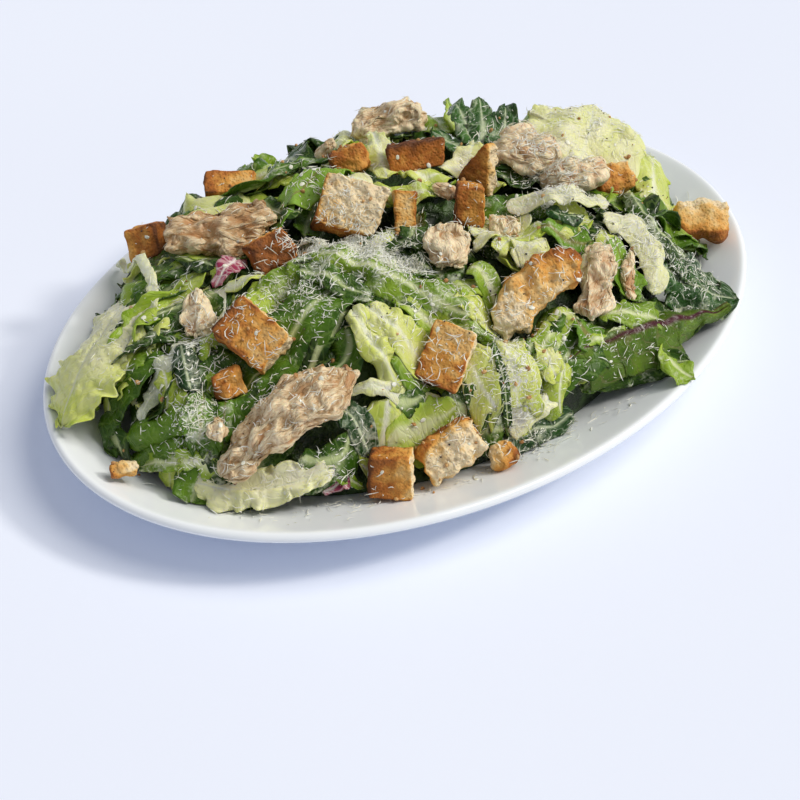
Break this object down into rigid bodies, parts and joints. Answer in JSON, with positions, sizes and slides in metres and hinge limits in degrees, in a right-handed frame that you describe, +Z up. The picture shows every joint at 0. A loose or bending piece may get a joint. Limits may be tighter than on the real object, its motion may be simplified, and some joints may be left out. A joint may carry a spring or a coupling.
{
  "type": "caesar salad",
  "caption": "Mounded salad of dressed leaves with croutons, pulled chicken and shredded cheese, served on an oval platter.",
  "frame": {"origin": "middle of the platter's foot, on the surface that it stands on", "axes": "+X along the platter's long axis, +Y along its short axis, +Z up"},
  "size_m": [0.32, 0.2288, 0.0843],
  "materials": {
    "porcelain": "clear gloss glaze over white porcelain",
    "dressed_leaves": "crisp wet leaf with a thin creamy film",
    "toasted_bread": "dry toasted crumb, browned at the edges",
    "chicken_meat": "moist fibrous cooked meat"
  },
  "bodies": {
    "root": {"chicken_back": "chicken_meat", "chicken_back_left": "chicken_meat", "chicken_centre": "chicken_meat", "chicken_coated": "chicken_meat", "chicken_front": "chicken_meat", "chicken_right_inner": "chicken_meat", "chicken_right_outer": "chicken_meat", "chicken_scrap_front": "chicken_meat", "chicken_shreds_mid": "chicken_meat", "chicken_strand_front": "chicken_meat", "chicken_strip_front": "chicken_meat", "chicken_strip_mid": "chicken_meat", "chicken_tip": "chicken_meat", "crouton_brown_back": "toasted_bread", "crouton_centre": "toasted_bread", "crouton_crumb_left": "toasted_bread", "crouton_dark_slab": "toasted_bread", "crouton_flat_back": "toasted_bread", "crouton_front_left": "toasted_bread", "crouton_front_small": "toasted_bread", "crouton_front_torn": "toasted_bread", "crouton_inner_left": "toasted_bread", "crouton_large": "toasted_bread", "crouton_pale": "toasted_bread", "crouton_rim_left": "toasted_bread", "crouton_rim_right": "toasted_bread", "crouton_round_right": "toasted_bread", "crouton_stick": "toasted_bread", "crouton_torn_large": "toasted_bread", "crouton_under": "toasted_bread", "crouton_upright": "toasted_bread", "crouton_wedge": "toasted_bread", "plate": "porcelain", "salad_greens": "dressed_leaves"}
  },
  "joints": []
}
